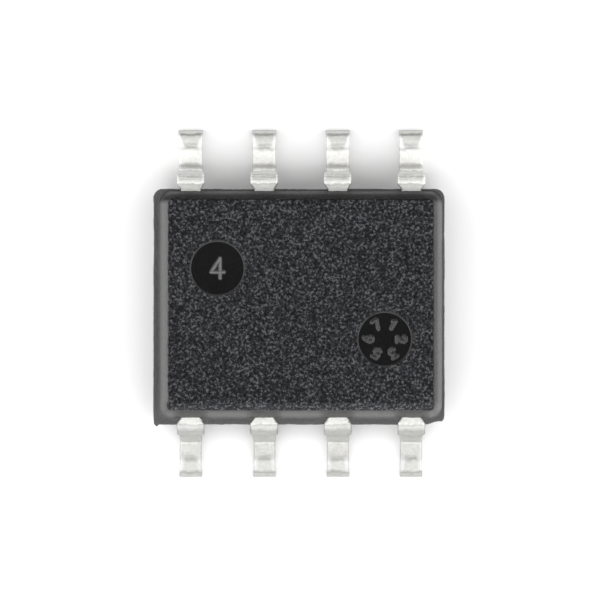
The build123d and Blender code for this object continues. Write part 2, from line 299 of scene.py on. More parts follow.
FACE_STOPS = [
    (0.34, (0.0024, 0.0025, 0.0028)), (0.45, (0.0095, 0.0100, 0.0114)), (0.53, (0.0180, 0.0188, 0.0211)),
    (0.60, (0.0350, 0.0361, 0.0392)), (0.68, (0.0780, 0.0792, 0.0820)),
]
M_TOP = blasted("compound_blasted", FACE_STOPS, 0.46, 0.62, 0.0022)
# painted light: the front (-Y) bevel gets the face's grain tones made lighter, as it faces the light
BEVEL_PAINTED_LIGHT_STOPS = [(p, tuple(0.006 + v * 1.25 for v in c)) for p, c in FACE_STOPS]
M_BEVEL_PAINTED_LIGHT = blasted("compound_blasted_bevel_painted_light", BEVEL_PAINTED_LIGHT_STOPS, 0.46, 0.62, 0.0022)
M_MARK = epoxy("compound_pin_mark", (0.0056, 0.0056, 0.0060), (0.0066, 0.0066, 0.0070), 0.10, 0.15, 0.030, 0.0002)
# painted highlight: the raised figures are the pit's own compound, coloured lighter for the light their sloped sides
# catch, the left figure lighter than the small ones
M_FIGURE_PAINTED_HIGHLIGHT = epoxy("compound_pin_figure_painted_highlight", (0.060, 0.060, 0.059), (0.120, 0.118, 0.115), 0.22, 0.34, 0.020, 0.0006)
M_SMALL_FIGURE_PAINTED_HIGHLIGHT = epoxy("compound_pin_small_figure_painted_highlight", (0.009, 0.009, 0.009), (0.022, 0.022, 0.022), 0.22, 0.34, 0.020, 0.0006)
warm = lambda v: (v * 1.015, v, v * 0.995)
# painted light and shade on the walls: lighter at the root, darker towards the top, darkest on the back (+Y) side
WALL_PAINTED_LIGHT_AND_SHADE = {
    "left": [(0.0, warm(0.075)), (0.2, warm(0.095)), (0.45, warm(0.085)), (0.9, warm(0.050)), (1.0, 0.025)],
    "right": [(0.0, warm(0.125)), (0.22, warm(0.085)), (0.46, warm(0.050)), (0.60, warm(0.018)), (1.0, 0.010)],
    "back": [(0.0, 0.024), (0.20, 0.022), (0.42, 0.009), (1.0, 0.004)],
    "front": [(0.0, warm(0.10)), (0.20, warm(0.11)), (0.50, warm(0.07)), (0.72, warm(0.032)), (0.84, 0.026), (1.0, 0.016)],
}
GLOSS = {
    "left": [(0.0, 0.5), (1.0, 0.40)],
    "right": [(0.0, 0.5), (0.48, 0.46), (0.60, 0.26), (0.86, 0.22), (1.0, 0.12)],
    "back": [(0.0, 0.36), (0.22, 0.30), (0.46, 0.04), (0.70, 0.02), (1.0, 0.02)],
    "front": [(0.0, 0.5), (0.55, 0.5), (0.80, 0.32), (0.86, 0.28), (1.0, 0.18)],
}
M_WALL_PAINTED_LIGHT_AND_SHADE = wall_with_painted_light_and_shade("compound_wall_painted_light_and_shade", WALL_PAINTED_LIGHT_AND_SHADE, GLOSS, 0.42, 0.56, 0.0020)
M_LEDGE = epoxy("compound_ledge", (0.030, 0.030, 0.031), (0.062, 0.062, 0.063), 0.42, 0.60, 0.022, 0.0030)
M_LOW = epoxy("compound_lower_wall", (0.0075, 0.0076, 0.0082), (0.0120, 0.0121, 0.0130), 0.30, 0.44, 0.018, 0.0022, 0.006)
M_UNDER = epoxy("compound_underside", (0.0055, 0.0057, 0.0062), (0.0095, 0.0098, 0.0108), 0.40, 0.52, 0.020, 0.0050, 0.010)


def plated(name, base_lo, base_hi, rough_lo, rough_hi, front, back):
    """Matte tin plating: fine crystalline mottle, forming scratches, and painted light and shade along the strip for
    each row, with painted highlights on the bends and the back row painted lighter than the front.
    """
    m, nt, b, vec = material(name)
    fine = noise(nt, vec, 55.0, 3.0, 0.6)
    mottle = noise(nt, vec, 17.0, 4.0, 0.85)
    sep = nt.nodes.new("ShaderNodeSeparateXYZ")
    nt.links.new(vec, sep.inputs[0])
    # the painted light bands wander a little across the strip
    wander_y = noise(nt, vec, 6.5, 2.0, 0.6)
    along = nt.nodes.new("ShaderNodeMath")
    along.operation = "ABSOLUTE"
    nt.links.new(sep.outputs["Y"], along.inputs[0])
    bent = nt.nodes.new("ShaderNodeMath")
    bent.operation = "MULTIPLY_ADD"
    nt.links.new(wander_y, bent.inputs[0])
    bent.inputs[1].default_value = 0.09
    nt.links.new(along.outputs[0], bent.inputs[2])
    place = remap(nt, bent.outputs[0], 1.945, 3.045, 0.0, 1.0)
    painted_row_light = mixed(nt, remap(nt, sep.outputs["Y"], -1.0, 1.0, 0.0, 1.0), ramp(nt, place, front), ramp(nt, place, back))
    # painted reflection: beside the funnel at the toe the coined sides are made pale, lighter on the back row than the
    # front
    off = nt.nodes.new("ShaderNodeMath")
    off.operation = "PINGPONG"
    off.inputs[1].default_value = 0.635
    moved = nt.nodes.new("ShaderNodeMath")
    moved.operation = "SUBTRACT"
    moved.inputs[1].default_value = 0.635
    nt.links.new(sep.outputs["X"], moved.inputs[0])
    nt.links.new(moved.outputs[0], off.inputs[0])
    half = remap(nt, along.outputs[0], 2.700, 2.930, 0.105, 0.190)
    past = nt.nodes.new("ShaderNodeMath")
    past.operation = "SUBTRACT"
    nt.links.new(off.outputs[0], past.inputs[0])
    nt.links.new(half, past.inputs[1])
    outside = remap(nt, past.outputs[0], -0.022, 0.030, 0.0, 1.0)
    at_toe = remap(nt, along.outputs[0], 2.60, 2.76, 0.0, 1.0)
    both = nt.nodes.new("ShaderNodeMath")
    both.operation = "MULTIPLY"
    nt.links.new(outside, both.inputs[0])
    nt.links.new(at_toe, both.inputs[1])
    painted_toe_reflection = mixed(
        nt, remap(nt, sep.outputs["Y"], -1.0, 1.0, 0.0, 1.0),
        ramp(nt, place, [(0.0, 0.69), (0.89, 0.69), (0.93, 0.45), (1.0, 0.45)]),
        ramp(nt, place, [(0.0, 0.86), (0.89, 0.86), (0.93, 0.60), (1.0, 0.60)]),
    )
    painted_row_light = mixed(nt, both.outputs[0], painted_row_light, painted_toe_reflection)
    colour = ramp(nt, mottle, [(0.30, base_lo), (0.70, base_hi)])
    colour = mixed(nt, 1.0, colour, painted_row_light, "MULTIPLY")
    nt.links.new(colour, b.inputs["Base Color"])
    b.inputs["Metallic"].default_value = 1.0
    nt.links.new(remap(nt, mottle, 0.3, 0.7, rough_lo, rough_hi), b.inputs["Roughness"])
    stretch = nt.nodes.new("ShaderNodeVectorMath")
    stretch.operation = "MULTIPLY"
    stretch.inputs[1].default_value = (5.0, 42.0, 42.0)
    nt.links.new(vec, stretch.inputs[0])
    lines = noise(nt, stretch.outputs["Vector"], 1.0, 2.0, 0.5)
    bump(nt, b, [(fine, 0.0016, 1.0), (mottle, 0.0050, 1.0), (lines, 0.0030, 1.0)])
    return m


def tones(painted_row_light):
    """Stops of distance from the middle in millimetres (1.9 to 3.0) and painted light tone, as ramp stops."""
    return [((y - 1.90) / 1.10, (v, v * 0.996, v * 0.968)) for y, v in painted_row_light]


# painted light and shade along each lead: bright lines on the bends are painted highlights, and the back row is painted
# lighter than the front
FRONT_ROW_PAINTED_LIGHT = tones([
    (1.95, 0.68), (2.075, 0.73), (2.10, 0.48), (2.13, 0.54), (2.20, 0.34), (2.28, 0.39), (2.33, 0.45), (2.44, 0.60),
    (2.60, 0.56), (2.70, 0.36), (2.75, 0.54), (2.87, 0.56), (2.895, 0.44), (2.92, 0.30), (2.945, 0.42), (2.99, 0.50),
])
BACK_ROW_PAINTED_LIGHT = tones([
    (1.95, 0.56), (2.03, 0.66), (2.06, 0.56), (2.085, 0.92), (2.12, 0.80), (2.15, 0.76), (2.165, 0.92), (2.185, 0.62),
    (2.215, 0.78), (2.24, 0.56), (2.27, 0.62), (2.295, 0.50), (2.312, 0.84), (2.33, 0.60), (2.37, 0.50), (2.41, 0.72),
    (2.45, 0.86), (2.63, 0.90), (2.685, 0.48), (2.72, 0.66), (2.75, 0.56), (2.79, 0.70), (2.88, 0.60), (2.92, 0.40), (2.96, 0.62), (2.99, 0.62),
])
M_TIN = plated("tin_plating", (0.80, 0.80, 0.79), (1.06, 1.06, 1.055), 0.46, 0.60, FRONT_ROW_PAINTED_LIGHT, BACK_ROW_PAINTED_LIGHT)
# the sheared edges carry the same painted light rows
M_CUT = plated("tin_sheared_edge", (0.72, 0.72, 0.71), (0.90, 0.90, 0.89), 0.45, 0.60, FRONT_ROW_PAINTED_LIGHT, BACK_ROW_PAINTED_LIGHT)


def simple(name, lo, hi, scale, metallic, rough, depth):
    m, nt, b, vec = material(name)
    n = noise(nt, vec, scale, 3.0, 0.55)
    nt.links.new(ramp(nt, n, [(0.3, lo), (0.7, hi)]), b.inputs["Base Color"])
    b.inputs["Metallic"].default_value = metallic
    nt.links.new(remap(nt, n, 0.3, 0.7, *rough), b.inputs["Roughness"])
    bump(nt, b, [(n, depth, 0.8)])
    return m


inside = {
    "die_pad": simple("pad_plating", (0.66, 0.66, 0.66), (0.82, 0.82, 0.82), 12.0, 1.0, (0.25, 0.40), 0.002),
    "die": simple("silicon", (0.10, 0.11, 0.14), (0.17, 0.18, 0.22), 9.0, 0.6, (0.08, 0.16), 0.0004),
    "die_attach": simple("silver_epoxy", (0.42, 0.42, 0.40), (0.60, 0.60, 0.57), 40.0, 0.3, (0.40, 0.60), 0.004),
}
M_GOLD = simple("gold_wire", (0.86, 0.58, 0.20), (0.95, 0.68, 0.28), 60.0, 1.0, (0.18, 0.30), 0.0005)


# ---------------------------------------------------------------- moulded body
def fractions(length, step_mm, dense_lo=None):
    """Places along a side, 0 to 1, with a denser run of 0.01 mm steps at its start if dense_lo millimetres are given."""
    n = int(round(length / step_mm))
    f = np.linspace(0, 1, n)
    if dense_lo:
        k = int(round(dense_lo / 0.01))
        first = np.arange(k) * 0.01 / length
        rest = np.linspace(dense_lo / length, 1, n - int(dense_lo / step_mm))
        f = np.concatenate([first, rest])
    return f


STEP = 0.0325
F_LOW = fractions(4.7, STEP, 0.16)
F_RIGHT = fractions(3.7, STEP)
F_HIGH = fractions(4.7, STEP)
F_LEFT = fractions(3.7, STEP)
N_CORNER = 7
total = len(F_LOW) + len(F_RIGHT) + len(F_HIGH) + len(F_LEFT) + 4 * N_CORNER
if total % 2:
    F_LEFT = np.linspace(0, 1, len(F_LEFT) + 1)
    total += 1


def outline(box, radii):
    """Points round a rectangle with four corner radii, from the -X -Y corner along +X."""
    x0, x1, y0, y1 = box
    a, b, c, d = radii
    corner = np.linspace(0, math.pi / 2, N_CORNER + 2)[1:-1]
    out = []
    seg = lambda p, q, f: out.append(np.outer(1 - f, p) + np.outer(f, q))
    arc = lambda cx, cy, r, start: out.append(
        np.stack([cx + r * np.cos(start + corner), cy + r * np.sin(start + corner)], 1)
    )
    seg((x0 + a, y0), (x1 - b, y0), F_LOW)
    arc(x1 - b, y0 + b, b, -math.pi / 2)
    seg((x1, y0 + b), (x1, y1 - c), F_RIGHT)
    arc(x1 - c, y1 - c, c, 0)
    seg((x1 - c, y1), (x0 + d, y1), F_HIGH)
    arc(x0 + d, y1 - d, d, math.pi / 2)
    seg((x0, y1 - d), (x0, y0 + a), F_LEFT)
    arc(x0 + a, y0 + a, a, math.pi)
    return np.concatenate(out)


def inset(box, by, low_y=None):
    x0, x1, y0, y1 = box
    return x0 + by, x1 - by, y0 + (by if low_y is None else low_y), y1 - by


wander = Relief(5, 0.9, 0.5)  # slow unevenness of the parting edge
wobble = Relief(6, 0.16, 0.5)
fine_wall = Relief(7, 0.060, 0.5)
edge_grain = Relief(8, 0.30, short=0.045)
FACE_DROP = 0.0045  # the face's middle level lies this far under its highest grains


def outward(p):
    """Unit outward normals of a closed ring of points."""
    t = np.roll(p, -1, 0) - np.roll(p, 1, 0)
    n = np.stack([t[:, 1], -t[:, 0]], 1)
    return n / np.maximum(np.linalg.norm(n, axis=1), 1e-9)[:, None]


def low_ring(z, by, soft=0.0):
    """A ring of the lower half: z, how far in, and extra corner softness."""
    p = outline(inset(LOWER, by), (0.020 + soft, 0.160 - by * 0.6, 0.160 - by * 0.6, 0.160 - by * 0.6))
    cut = LOWER[2] + by + np.interp(p[:, 0], [2.17, 2.36, 2.60], [0.0, 0.052, 0.062])
    p[:, 1] = np.where(p[:, 0] > 2.0, np.maximum(p[:, 1], cut), p[:, 1])
    n = outward(p)
    rough = 0.0035 * wander(p[:, 0], p[:, 1] + z) + 0.0022 * wobble(p[:, 0], p[:, 1] + 0.5 * z)
    p = p + n * (np.minimum(rough, 0.004) - 0.004)[:, None]
    # the speck left where the gate broke away
    g = np.exp(-(((p[:, 0] + 2.497) / 0.026) ** 2)) * (p[:, 1] < LOWER[2] + 0.05)
    p[:, 1] -= 0.040 * g * smooth(0.79, 0.82, z) * (1 - smooth(0.915, 0.945, z))
    return np.column_stack([p, np.full(len(p), z)])


BEVEL_LOW, BEVEL_TOP_Y = 1.5007, -1.732


def up_ring(z, extra=0.0, corner=None):
    """A ring of the upper half at height z, drawn in by extra all round."""
    s = (z - LEDGE) / (BODY_TOP - LEDGE)
    by = UPPER_RUN * s
    low_y = by if z <= BEVEL_LOW else (-1.891 + (z - 1.46) / 0.882) - UPPER[2]
    r = 0.22 + (0.07 - 0.22) * s if corner is None else corner
    box = inset(UPPER, by + extra, low_y + extra)
    p = outline(box, (r, r, r, r))
    n = outward(p)
    near = float(smooth(1.46, 1.57, z))
    rough = 0.0013 * wobble(p[:, 0] + 9, p[:, 1] + z) + 0.0011 * fine_wall(p[:, 0] + p[:, 1], z * 3)
    rough = rough + near * 0.0042 * edge_grain(p[:, 0], p[:, 1] + z)
    p = p + n * rough[:, None]
    return np.column_stack([p, np.full(len(p), z) - near * 0.0016 * np.abs(edge_grain(p[:, 0] + 3, p[:, 1]))])


low_rings = [
    low_ring(BODY_LOW, LOWER_RUN + 0.016, 0.02),
    low_ring(BODY_LOW + 0.002, LOWER_RUN + 0.007, 0.01),
    low_ring(BODY_LOW + 0.009, LOWER_RUN + 0.001, 0.0),
    *[low_ring(z, LOWER_RUN * (PARTING - z) / (PARTING - BODY_LOW)) for z in np.linspace(BODY_LOW + 0.03, PARTING - 0.01, 12)],
    low_ring(PARTING, 0.0),
    *[low_ring(z, 0.0) for z in (0.795, 0.81, 0.83, 0.86, 0.89, 0.91, 0.925)],
    low_ring(LEDGE - 0.014, 0.001),
    low_ring(LEDGE - 0.006, 0.004),
    low_ring(LEDGE - 0.001, 0.010),
    low_ring(LEDGE, 0.018),
]
outer = low_rings[-1]
root = up_ring(LEDGE + 0.0005, -0.0015)
shelf = []
for f in (0.25, 0.5, 0.75):
    s = outer * (1 - f) + root * f
    s[:, 2] = LEDGE + 0.0028 * wobble(s[:, 0] * 1.7, s[:, 1] * 1.7) + 0.002 * fine_wall(s[:, 0], s[:, 1])
    shelf.append(s)
up_rings = [root, up_ring(LEDGE + 0.004, -0.0003), up_ring(LEDGE + 0.011, 0.0)]
up_rings += [up_ring(z) for z in np.linspace(LEDGE + 0.03, 1.48, 8)]
# the edge round the top, a radius of 0.035 on three sides and a bevel with softened edges on the fourth
up_rings += [up_ring(1.4960), up_ring(1.5050, 0.0012), up_ring(1.5200, 0.0005), up_ring(1.5450)]
for deg in (8, 22, 36, 50, 64, 78, 90):
    a = math.radians(deg)
    drop = 0.026 * (1 - math.sin(a))
    up_rings.append(up_ring(BODY_TOP - FACE_DROP - drop, 0.026 * (1 - math.cos(a)) * 0.9))
rim = up_rings[-1]

verts, faces, mats = [], [], []
base = 0
rings_at = []


def add_ring(r):
    global base
    verts.append(r)
    rings_at.append((base, len(r)))
    base += len(r)


def bridge(a, b, mat):
    """Faces between two rings, of the same count or with the second twice as dense."""
    (sa, na), (sb, nb) = a, b
    for i in range(na):
        j = (i + 1) % na
        if na == nb:
            faces.append((sa + i, sa + j, sb + j, sb + i))
            mats.append(mat)
        else:
            k = 2 * i
            faces.append((sa + i, sa + j, sb + (k + 1) % nb))
            faces.append((sa + i, sb + (k + 1) % nb, sb + k))
            faces.append((sa + j, sb + (k + 2) % nb, sb + (k + 1) % nb))
            mats.extend([mat] * 3)


TOP, MARK, WALL, SHELF, UNDER, LOW, FIGURE, SMALL, BEVEL = range(9)
for r in low_rings:
    add_ring(r[::2])
for i in range(len(low_rings) - 1):
    bridge(rings_at[i], rings_at[i + 1], LOW if i < len(low_rings) - 4 else SHELF)
for r in shelf + up_rings:
    add_ring(r)
first_up = len(low_rings)
for i in range(first_up - 1, len(rings_at) - 1):
    bridge(rings_at[i], rings_at[i + 1], SHELF if i < first_up + 3 else TOP if i > len(rings_at) - 5 else WALL)
    if i >= len(rings_at) - 10:  # the bevel and the edge over it carry the blasting too, in a lighter copy of the face's colour that is painted light
        middle = (up_rings[i - first_up - len(shelf)][:, 1] + np.roll(up_rings[i - first_up - len(shelf)][:, 1], -1)) / 2
        for k, y in enumerate(middle):
            if y < -1.71:
                mats[len(mats) - len(middle) + k] = BEVEL


# top face: one constrained triangulation over the rim, the two marks and a fine relief grid
def rounded_gap(x, y, ring):
    """Distance inside a rounded rectangle given by its ring's own box."""
    x0, x1, y0, y1 = ring[:, 0].min(), ring[:, 0].max(), ring[:, 1].min(), ring[:, 1].max()
    r = 0.075
    hx, hy = (x1 - x0) / 2 - r, (y1 - y0) / 2 - r
    qx, qy = np.abs(x - (x0 + x1) / 2) - hx, np.abs(y - (y0 + y1) / 2) - hy
    d = np.hypot(np.maximum(qx, 0), np.maximum(qy, 0)) + np.minimum(np.maximum(qx, qy), 0) - r
    return -d


def hexes(x0, x1, y0, y1, h):
    ny = int((y1 - y0) / (h * 0.866)) + 1
    nx = int((x1 - x0) / h) + 1
    j, i = np.mgrid[0:ny, 0:nx]
    return np.stack([(x0 + (i + 0.5 * (j & 1)) * h).ravel(), (y0 + j * h * 0.866).ravel()], 1)


FIGURES = {
    "1": [[(-0.20, 0.32), (0.05, 0.50), (0.05, -0.50)]],
    "2": [[(-0.28, 0.30), (-0.12, 0.48), (0.14, 0.48), (0.28, 0.28), (0.22, 0.02), (-0.30, -0.50), (0.30, -0.50)]],
    "3": [[(-0.28, 0.50), (0.28, 0.50), (0.00, 0.10), (0.24, -0.02), (0.28, -0.28), (0.10, -0.50), (-0.16, -0.50), (-0.30, -0.34)]],
    "4": [[(0.14, -0.50), (0.14, 0.50), (-0.32, -0.20), (0.34, -0.20)]],
    "5": [[(0.28, 0.50), (-0.24, 0.50), (-0.28, 0.06), (0.10, 0.10), (0.29, -0.14), (0.24, -0.40), (0.02, -0.52), (-0.28, -0.40)]],
    "6": [[(0.20, 0.50), (-0.16, 0.20), (-0.28, -0.18), (-0.16, -0.46), (0.12, -0.50), (0.28, -0.28), (0.20, -0.02), (-0.06, 0.04), (-0.28, -0.18)]],
    "7": [[(-0.30, 0.50), (0.30, 0.50), (-0.06, -0.50)]],
}


def strokes_of(name, cx, cy, height, turn):
    c, s = math.cos(math.radians(-turn)), math.sin(math.radians(-turn))
    place = lambda p: (cx + height * (p[0] * c - p[1] * s), cy + height * (p[0] * s + p[1] * c))
    return [(place(p), place(q)) for line in FIGURES[name] for p, q in zip(line, line[1:])]


strokes = strokes_of("4", -MARK_X, MARK_Y, 0.34, 0)
for k, name in enumerate("123567"):
    turn = 30 + 60 * k
    strokes += strokes_of(
        name, MARK_X + 0.285 * math.sin(math.radians(turn)), -MARK_Y + 0.285 * math.cos(math.radians(turn)), 0.155, turn
    )


def stroke_distance(x, y):
    best = np.full(np.shape(x), 9.0)
    for (ax, ay), (bx, by) in strokes:
        dx, dy = bx - ax, by - ay
        t = np.clip(((x - ax) * dx + (y - ay) * dy) / (dx * dx + dy * dy), 0, 1)
        best = np.minimum(best, np.hypot(x - ax - t * dx, y - ay - t * dy))
    return best


centres = [(-MARK_X, MARK_Y), (MARK_X, -MARK_Y)]
RIM_R = 0.486
LOOPS = [RIM_R, 0.4800, 0.4735, 0.4670, 0.4605, 0.4540]
grid = hexes(rim[:, 0].min(), rim[:, 0].max(), rim[:, 1].min(), rim[:, 1].max(), 0.0168)
keep = rounded_gap(grid[:, 0], grid[:, 1], rim) > 0.011
for cx, cy in centres:
    keep &= np.hypot(grid[:, 0] - cx, grid[:, 1] - cy) > RIM_R + 0.009
grid = grid[keep]
jig = np.random.RandomState(3).uniform(-1, 1, grid.shape) * 0.0022
grid = grid + jig
points = [rim[:, :2], grid]
edges = [(i, (i + 1) % len(rim)) for i in range(len(rim))]
count = len(rim) + len(grid)
for cx, cy in centres:
    for r in LOOPS:
        n = 240
        t = 2 * math.pi * (np.arange(n) + 0.5 * (LOOPS.index(r) & 1)) / n
        points.append(np.stack([cx + r * np.cos(t), cy + r * np.sin(t)], 1))
        edges += [(count + i, count + (i + 1) % n) for i in range(n)]
        count += n
    fine = hexes(cx - MARK_R, cx + MARK_R, cy - MARK_R, cy + MARK_R, 0.0058)
    d = stroke_distance(fine[:, 0], fine[:, 1])
    fine = fine[(d < 0.0290) & (np.hypot(fine[:, 0] - cx, fine[:, 1] - cy) < 0.449)]
    coarse = hexes(cx - MARK_R, cx + MARK_R, cy - MARK_R, cy + MARK_R, 0.0170)
    d = stroke_distance(coarse[:, 0], coarse[:, 1])
    coarse = coarse[(d > 0.0350) & (np.hypot(coarse[:, 0] - cx, coarse[:, 1] - cy) < 0.443)]
    points += [fine, coarse]
    count += len(fine) + len(coarse)
points = np.concatenate(points)
tv, _, tf, orig, _, _ = delaunay_2d_cdt([Vector(p) for p in points.tolist()], edges, [], 1, 1e-7)
tv = np.array([tuple(v) for v in tv])

grain = Relief(21, 0.40, cell=0.007, short=0.022)
swell = Relief(23, 1.3, 0.5)


def top_height(x, y):
    gap = rounded_gap(x, y, rim)
    z = 0.0032 * grain(x, y) * (0.5 + 0.5 * smooth(0.0, 0.03, gap))
    z = z + 0.0006 * swell(x, y) * smooth(0.0, 0.2, gap)
    for cx, cy in centres:
        r = np.hypot(x - cx, y - cy)
        z = z * smooth(RIM_R - 0.001, RIM_R + 0.024, r)
        lip = 0.0018 * np.exp(-(((r - RIM_R) / 0.008) ** 2))
        dish = (MARK_DEEP - FACE_DROP) * (1 - smooth(0.4610, 0.4830, r))
        floor = 0.0006 * swell(x * 3, y * 3) * (r < 0.45)
        z = np.where(r < RIM_R + 0.05, z + lip - dish + floor, z)
    d = stroke_distance(x, y)
    z = z + STROKE_HIGH * (1 - smooth(0.0040, 0.0275, d))
    return BODY_TOP - FACE_DROP + np.minimum(z, 0.0025 + 0.002 * np.tanh(np.maximum(z - 0.0025, 0) / 0.002))


tz = top_height(tv[:, 0], tv[:, 1])
# boundary vertices are the rim ring's own
ring_start = rings_at[-1][0]
index = np.full(len(tv), -1)
for new, olds in enumerate(orig):
    for o in olds:
        if o < len(rim):
            index[new] = ring_start + o
fresh = np.where(index < 0)[0]
index[fresh] = base + np.arange(len(fresh))
verts.append(np.column_stack([tv[fresh], tz[fresh]]))
base += len(fresh)
fc = np.array([np.mean(tv[list(f)], 0) for f in tf])
in_mark = np.zeros(len(tf), bool)
for cx, cy in centres:
    in_mark |= np.hypot(fc[:, 0] - cx, fc[:, 1] - cy) < 0.4800
on_stroke = stroke_distance(fc[:, 0], fc[:, 1]) < 0.0225
# faces on the strokes take the lighter figure colours, a painted highlight
for f, mk, fig, x in zip(tf, in_mark, on_stroke, fc[:, 0]):
    faces.append(tuple(int(index[i]) for i in f))
    mats.append((FIGURE if x < 0 else SMALL) if fig and mk else MARK if mk else TOP)

# underside
bottom = low_rings[0][::2]
start, n = rings_at[0]
grid = hexes(bottom[:, 0].min(), bottom[:, 0].max(), bottom[:, 1].min(), bottom[:, 1].max(), 0.085)
grid = grid[rounded_gap(grid[:, 0], grid[:, 1], bottom) > 0.05]
pts = np.concatenate([bottom[:, :2], grid])
bv, _, bf, orig, _, _ = delaunay_2d_cdt([Vector(p) for p in pts.tolist()], [(i, (i + 1) % n) for i in range(n)], [], 1, 1e-7)
bv = np.array([tuple(v) for v in bv])
index = np.full(len(bv), -1)
for new, olds in enumerate(orig):
    for o in olds:
        if o < n:
            index[new] = start + o
fresh = np.where(index < 0)[0]
index[fresh] = base + np.arange(len(fresh))
verts.append(np.column_stack([bv[fresh], np.full(len(fresh), BODY_LOW)]))
base += len(fresh)
for f in bf:
    faces.append(tuple(int(index[i]) for i in reversed(f)))
    mats.append(UNDER)

body = new_object(
    "mould_body_blasted", np.concatenate(verts), faces, [M_TOP, M_MARK, M_WALL_PAINTED_LIGHT_AND_SHADE, M_LEDGE, M_UNDER, M_LOW, M_FIGURE_PAINTED_HIGHLIGHT, M_SMALL_FIGURE_PAINTED_HIGHLIGHT, M_BEVEL_PAINTED_LIGHT], mats
)
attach(body, "root")
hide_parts("mould_body")

# ---------------------------------------------------------------- formed leads
SHOULDER_Y, BEND_R, BEND_DEG = 2.08, 0.15, 84.0
EXIT_Y, EXIT_W, DAMBAR_W, DAMBAR_DEG = 1.965, 0.34, 0.475, 52.0
INNER_FINGER = [
    (1.220, 0.27, 0.27), (1.430, 0.27, 0.27), (1.510, 0.19, 0.19), (1.640, 0.19, 0.19), (1.670, 0.13, 0.13),
    (1.760, 0.13, 0.13), (1.790, 0.19, 0.19), (1.890, 0.19, 0.19), (EXIT_Y, EXIT_W / 2, EXIT_W / 2),
    (SHOULDER_Y - 0.012, DAMBAR_W / 2, DAMBAR_W / 2), (SHOULDER_Y, DAMBAR_W / 2, DAMBAR_W / 2),
]
CORNER_FINGER = [
    (0.620, 0.17, 0.19), (0.680, 0.23, 0.21), (1.180, 0.23, 0.21), (1.260, 0.20, 0.21), (1.380, 0.20, 0.21),
    (1.410, 0.20, 0.13), (1.500, 0.20, 0.13), (1.530, 0.20, 0.21), (1.640, 0.20, 0.20), (1.670, 0.13, 0.13),
    (1.760, 0.13, 0.13), (1.790, 0.19, 0.19), (1.890, 0.19, 0.19), (EXIT_Y, EXIT_W / 2, EXIT_W / 2),
    (SHOULDER_Y - 0.012, DAMBAR_W / 2, DAMBAR_W / 2), (SHOULDER_Y, DAMBAR_W / 2, DAMBAR_W / 2),
]
MID_Z = LEAD_TOP - LEAD_T / 2
F = math.radians(BEND_DEG)
DROP = MID_Z - LEAD_T / 2
LEG = (DROP - 2 * BEND_R * (1 - math.cos(F))) / math.sin(F)
S1 = BEND_R * F
S2 = S1 + LEG
S3 = S2 + BEND_R * F
C1 = (SHOULDER_Y, MID_Z - BEND_R)
E1 = (C1[0] + BEND_R * math.sin(F), C1[1] + BEND_R * math.cos(F))
E2 = (E1[0] + LEG * math.cos(F), E1[1] - LEG * math.sin(F))
C2 = (E2[0] + BEND_R * math.sin(F), E2[1] + BEND_R * math.cos(F))
S_END = S3 + (HALF_SPAN - C2[0])
S_STUB = BEND_R * math.radians(DAMBAR_DEG)


def path(s):
    """Distance from the middle, height and tilt of the strip's own middle line, s from the first bend."""
    if s <= 0:
        return SHOULDER_Y + s, MID_Z, 0.0
    if s <= S1:
        a = s / BEND_R
        return C1[0] + BEND_R * math.sin(a), C1[1] + BEND_R * math.cos(a), a
    if s <= S2:
        k = s - S1
        return E1[0] + k * math.cos(F), E1[1] - k * math.sin(F), F
    if s <= S3:
        a = F - (s - S2) / BEND_R
        return C2[0] - BEND_R * math.sin(a), C2[1] - BEND_R * math.cos(a), a
    return C2[0] + (s - S3), LEAD_T / 2, 0.0


N_TOP, N_COR, N_SIDE, N_BOT = 21, 4, 4, 9


def section(wl, wr, tt, tb, rl, rr, rb):
    """Points round the strip's section, (across, up), from the top left, with separate left and right top radii."""
    out = []
    q = np.linspace(0, math.pi / 2, N_COR + 2)[1:-1]
    for a in np.linspace(-wl + rl, wr - rr, N_TOP):
        out.append((a, tt))
    for t in q:
        out.append((wr - rr + rr * math.sin(t), tt - rr + rr * math.cos(t)))
    for h in np.linspace(tt - rr, -tb + rb, N_SIDE):
        out.append((wr, h))
    for t in q:
        out.append((wr - rb + rb * math.cos(t), -tb + rb - rb * math.sin(t)))
    for a in np.linspace(wr - rb, -wl + rb, N_BOT):
        out.append((a, -tb))
    for t in q:
        out.append((-wl + rb - rb * math.sin(t), -tb + rb - rb * math.cos(t)))
    for h in np.linspace(-tb + rb, tt - rl, N_SIDE):
        out.append((-wl, h))
    for t in q:
        out.append((-wl + rl - rl * math.cos(t), tt - rl + rl * math.sin(t)))
    return np.array(out)


M_SEC = len(section(0.2, 0.2, 0.1, 0.1, 0.03, 0.03, 0.02))
plate_wave = Relief(31, 0.22, 0.5)
plate_fine = Relief(32, 0.07, 0.4)

# per lead: half-width offsets of leg and toe, edge radii of the stub, seeds
ROW_LOW = {"leg": 0.193, "foot": 0.186, "toe": 0.194}
ROW_HIGH = {"leg": 0.198, "foot": 0.200, "toe": 0.212}


